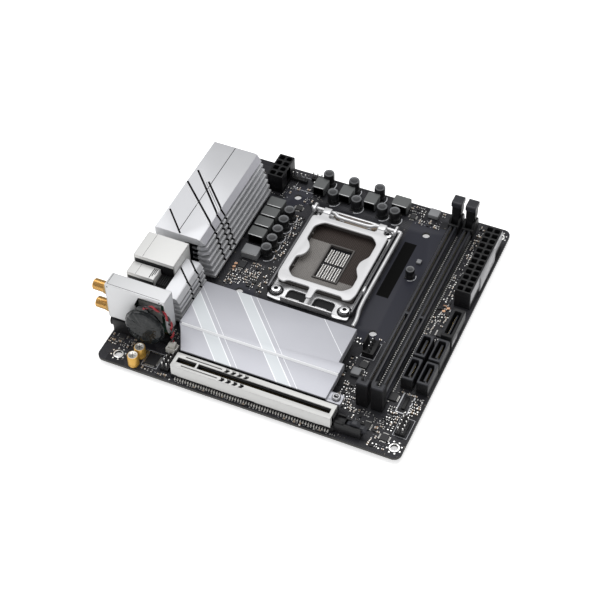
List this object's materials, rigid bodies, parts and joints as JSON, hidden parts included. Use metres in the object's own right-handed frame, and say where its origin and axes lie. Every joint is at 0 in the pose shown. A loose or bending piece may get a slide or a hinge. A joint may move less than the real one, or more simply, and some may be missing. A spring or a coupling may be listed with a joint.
{
  "type": "computer motherboard",
  "caption": "Small square computer motherboard with silver heatsinks, a processor socket under a hinged load plate, memory and expansion slots and a rear row of connectors.",
  "frame": {"origin": "middle of the bounding box, at the height of the lowest face: the underside of the socket backplate and of the solder tails", "axes": "+X from the rear connectors to the front edge, +Y from the expansion slot to the top edge, +Z out of the component side"},
  "size_m": [0.1802, 0.17, 0.0398],
  "materials": {
    "pcb": "matte solder mask over copper tracks",
    "socket_plastic": "moulded, matte",
    "contacts": "brown carrier with fine gold contacts",
    "light_steel": "nickel plated, satin",
    "dark_steel": "black coated",
    "screw_steel": "plated",
    "silver": "fine blasted, anodised",
    "bright_steel": "plated sheet",
    "sheet": "satin sheet",
    "thermal_pad": "matte soft pad",
    "chip": "moulded package",
    "black_plastic": "moulded, fine matte",
    "gold": "gold plated",
    "gold_can": "gold coloured sleeve",
    "radio_card": "solder mask",
    "shrink_wrap": "glossy shrink film",
    "white_nylon": "natural nylon",
    "red_wire": "insulation",
    "ferrite": "pressed ferrite"
  },
  "bodies": {
    "board": {"circuit_board": "pcb", "socket_body": "socket_plastic", "contact_field": "contacts", "socket_backplate": "dark_steel", "frame_screw_1": "screw_steel", "frame_screw_2": "screw_steel", "frame_screw_3": "screw_steel", "frame_screw_4": "screw_steel", "socket_frame": "light_steel", "vrm_heatsink": "silver", "vrm_thermal_pad": "thermal_pad", "chipset_heatsink": "silver", "chipset": "chip", "m2_heatsink": "silver", "m2_heatsink_screw": "screw_steel", "m2_thermal_pad": "thermal_pad", "m2_socket": "black_plastic", "pcie_slot": "black_plastic", "pcie_slot_shield": "bright_steel", "dimm_slot_a": "black_plastic", "dimm_slot_b": "black_plastic", "atx_power_connector": "black_plastic", "cpu_power_connector": "black_plastic", "sata_port_1": "black_plastic", "sata_port_2": "black_plastic", "sata_port_3": "black_plastic", "sata_port_4": "black_plastic", "fan_header": "black_plastic", "usb_c_header": "black_plastic", "lan_usb_stack": "bright_steel", "usb_stack_shell": "bright_steel", "usb_stack_core": "black_plastic", "display_stack": "bright_steel", "usb_port_stack": "bright_steel", "audio_jack_1": "black_plastic", "audio_jack_2": "black_plastic", "wifi_shield": "sheet", "wifi_card": "radio_card", "wifi_socket": "black_plastic", "antenna_jack_upper": "gold", "antenna_jack_lower": "gold", "battery": "shrink_wrap", "battery_header": "white_nylon", "battery_plug": "white_nylon", "battery_lead": "red_wire", "choke_1": "ferrite", "choke_2": "ferrite", "choke_3": "ferrite", "choke_4": "ferrite", "choke_5": "ferrite", "choke_6": "ferrite", "choke_7": "ferrite", "choke_8": "ferrite", "audio_capacitor_1": "gold_can", "audio_capacitor_2": "gold_can"},
    "plate": {"load_plate": "light_steel"},
    "lever": {"load_lever": "light_steel"},
    "pcie_latch": {"pcie_slot_latch": "black_plastic"},
    "memory_latch_a": {"dimm_latch_a": "black_plastic"},
    "memory_latch_b": {"dimm_latch_b": "black_plastic"}
  },
  "joints": [
    {"name": "lever_hinge", "type": "hinge", "parent": "board", "child": "lever", "pos_m": [0.00822, 0.0564, 0.00807], "axis": [-1, 0, 0], "range_deg": [0, 130]},
    {"name": "plate_hinge", "type": "hinge", "parent": "board", "child": "plate", "pos_m": [0.00822, 0.0564, 0.00807], "axis": [-1, 0, 0], "range_deg": [0, 110.5]},
    {"name": "pcie_latch_hinge", "type": "hinge", "parent": "board", "child": "pcie_latch", "pos_m": [0.0661, -0.0783, 0.00677], "axis": [0, 1, 0], "range_deg": [0, 25]},
    {"name": "memory_latch_a_hinge", "type": "hinge", "parent": "board", "child": "memory_latch_a", "pos_m": [0.0603, 0.0775, 0.00727], "axis": [-1, 0, 0], "range_deg": [0, 25]},
    {"name": "memory_latch_b_hinge", "type": "hinge", "parent": "board", "child": "memory_latch_b", "pos_m": [0.0685, 0.0775, 0.00727], "axis": [-1, 0, 0], "range_deg": [0, 25]}
  ],
  "couplings": [
    {"joint": "plate_hinge", "follows": "lever_hinge", "ratio": 0.85}
  ]
}
